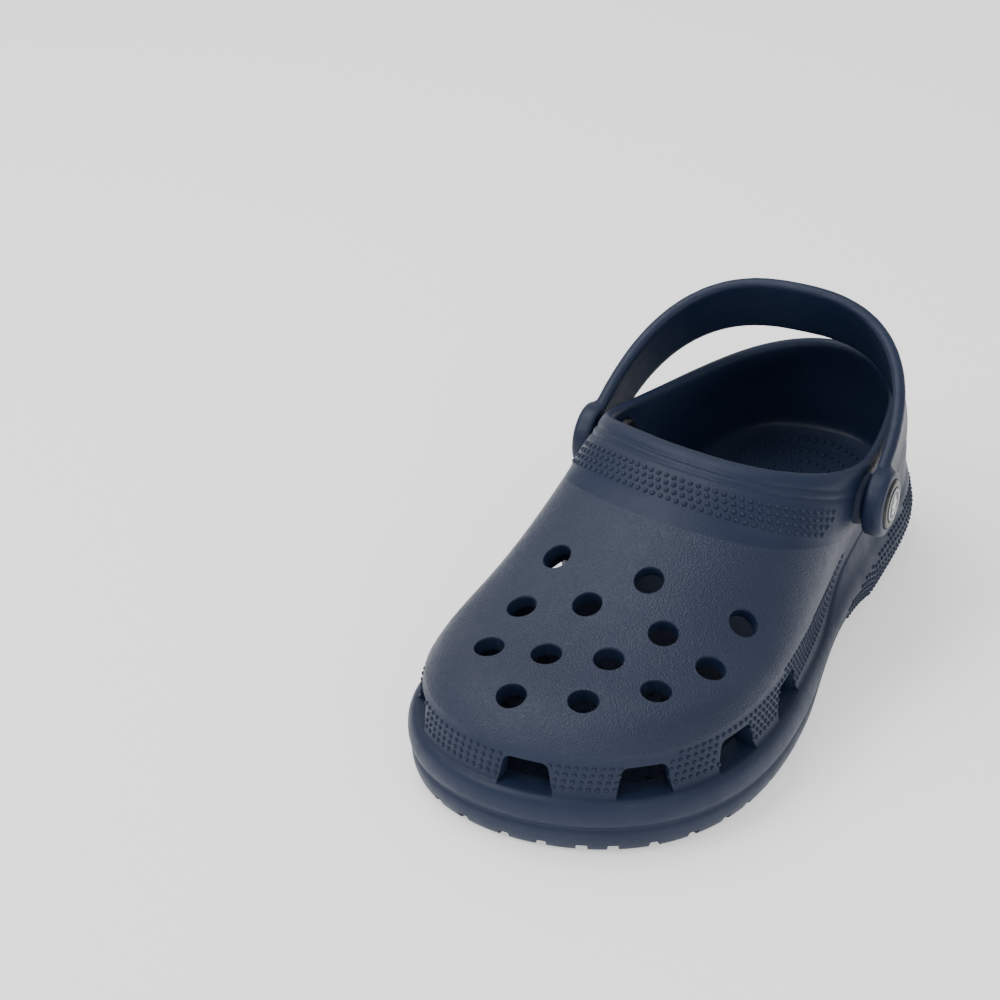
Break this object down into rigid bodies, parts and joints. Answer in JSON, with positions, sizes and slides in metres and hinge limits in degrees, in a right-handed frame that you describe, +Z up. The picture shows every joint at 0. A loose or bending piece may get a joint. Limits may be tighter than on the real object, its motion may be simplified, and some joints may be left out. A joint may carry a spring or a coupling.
{
  "type": "garden clog",
  "caption": "Left garden clog in moulded foam with a ventilated toe box and a heel strap that swings on two rivets.",
  "frame": {"origin": "on the ground under the middle of the bounding box", "axes": "+Z up, +Y from toe to heel, +X to the lateral (outer) side of the left foot"},
  "size_m": [0.1378, 0.291, 0.1087],
  "materials": {
    "shell_foam": "moulded closed-cell foam, fine pebble grain, satin",
    "strap_foam": "moulded closed-cell foam, smooth satin",
    "rivet_plastic": "black moulded plastic",
    "emblem": null
  },
  "bodies": {
    "shell": {"clog_shell": "shell_foam"},
    "strap": {"heel_strap": "strap_foam"},
    "lateral_rivet": {"lateral_rivet_stud": "rivet_plastic", "lateral_rivet_cap": "rivet_plastic", "lateral_rivet_emblem": "emblem"},
    "medial_rivet": {"medial_rivet_stud": "rivet_plastic", "medial_rivet_cap": "rivet_plastic", "medial_rivet_emblem": "emblem"}
  },
  "joints": [
    {"name": "strap_swing", "type": "hinge", "parent": "shell", "child": "strap", "pos_m": [-0.0037, 0.033, 0.063], "axis": [0.9936, 0.1132, 0], "range_deg": [-2, 120]},
    {"name": "lateral_rivet_spin", "type": "hinge", "parent": "shell", "child": "lateral_rivet", "pos_m": [0.05591, 0.03979, 0.063], "axis": [0.9936, 0.1132, 0], "continuous": true},
    {"name": "medial_rivet_spin", "type": "hinge", "parent": "shell", "child": "medial_rivet", "pos_m": [-0.06331, 0.02621, 0.063], "axis": [0.9936, 0.1132, 0], "continuous": true}
  ]
}
